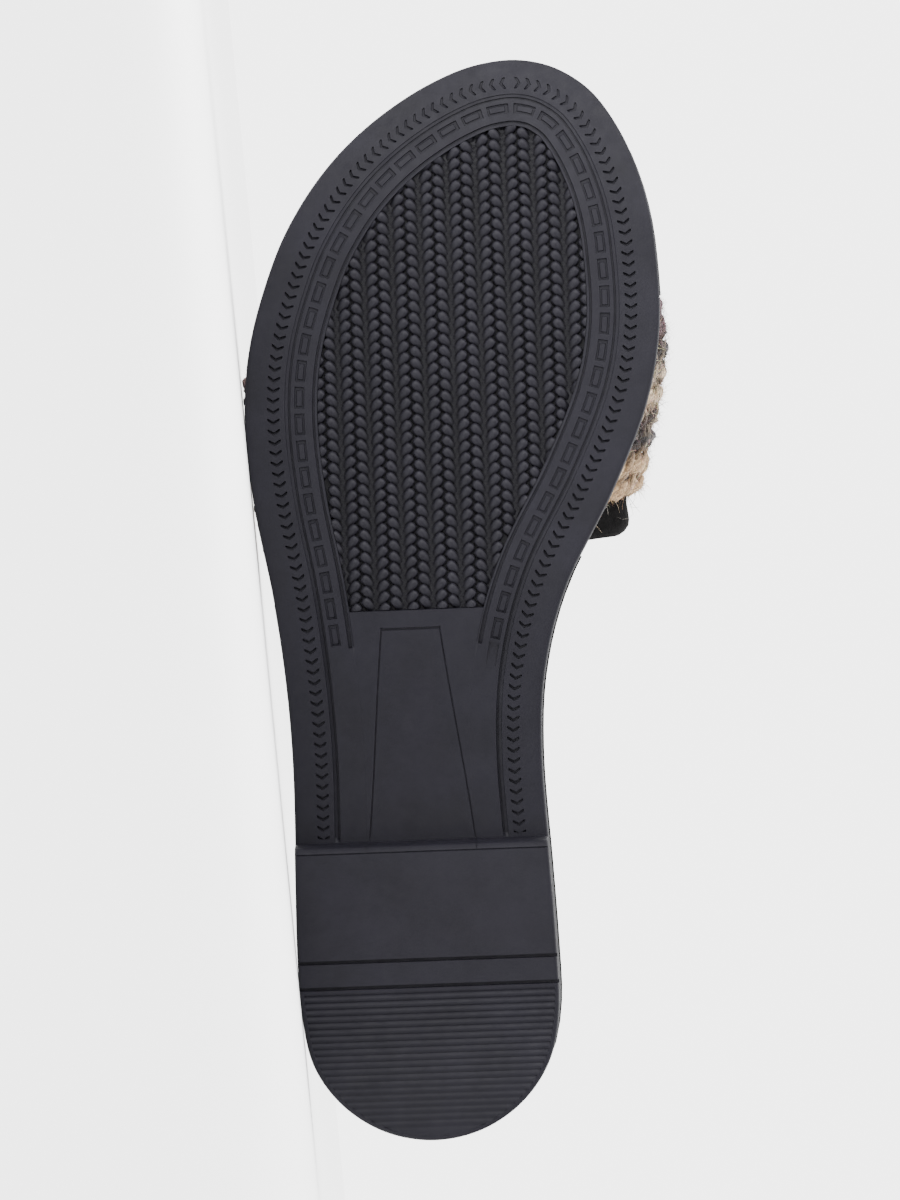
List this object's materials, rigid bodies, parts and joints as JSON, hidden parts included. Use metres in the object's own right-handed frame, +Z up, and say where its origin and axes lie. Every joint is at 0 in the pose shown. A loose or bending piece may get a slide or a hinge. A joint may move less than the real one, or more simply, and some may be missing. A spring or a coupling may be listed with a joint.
{
  "type": "toe loop sandal",
  "caption": "Open flat sandal: moulded rubber sole with low heel and patterned tread, covered footbed, broad woven tweed instep band with a dark lining and a loop for the big toe.",
  "frame": {"origin": "centre of the bounding box on the floor the sandal lies on", "axes": "-X from heel to toe, -Y the way the tread faces, +Z up, towards the inner side of the foot"},
  "size_m": [0.2472, 0.0668, 0.1005],
  "materials": {
    "outsole": "matte black moulded rubber",
    "footbed": "matte black cover",
    "band_lining": "black velvet",
    "woven_band": "mixed cream, beige and dark tweed",
    "toe_loop": "black velvet strap"
  },
  "bodies": {
    "root": {"outsole": "outsole", "footbed": "footbed", "band_lining": "band_lining", "woven_band": "woven_band", "toe_loop": "toe_loop"}
  },
  "joints": []
}
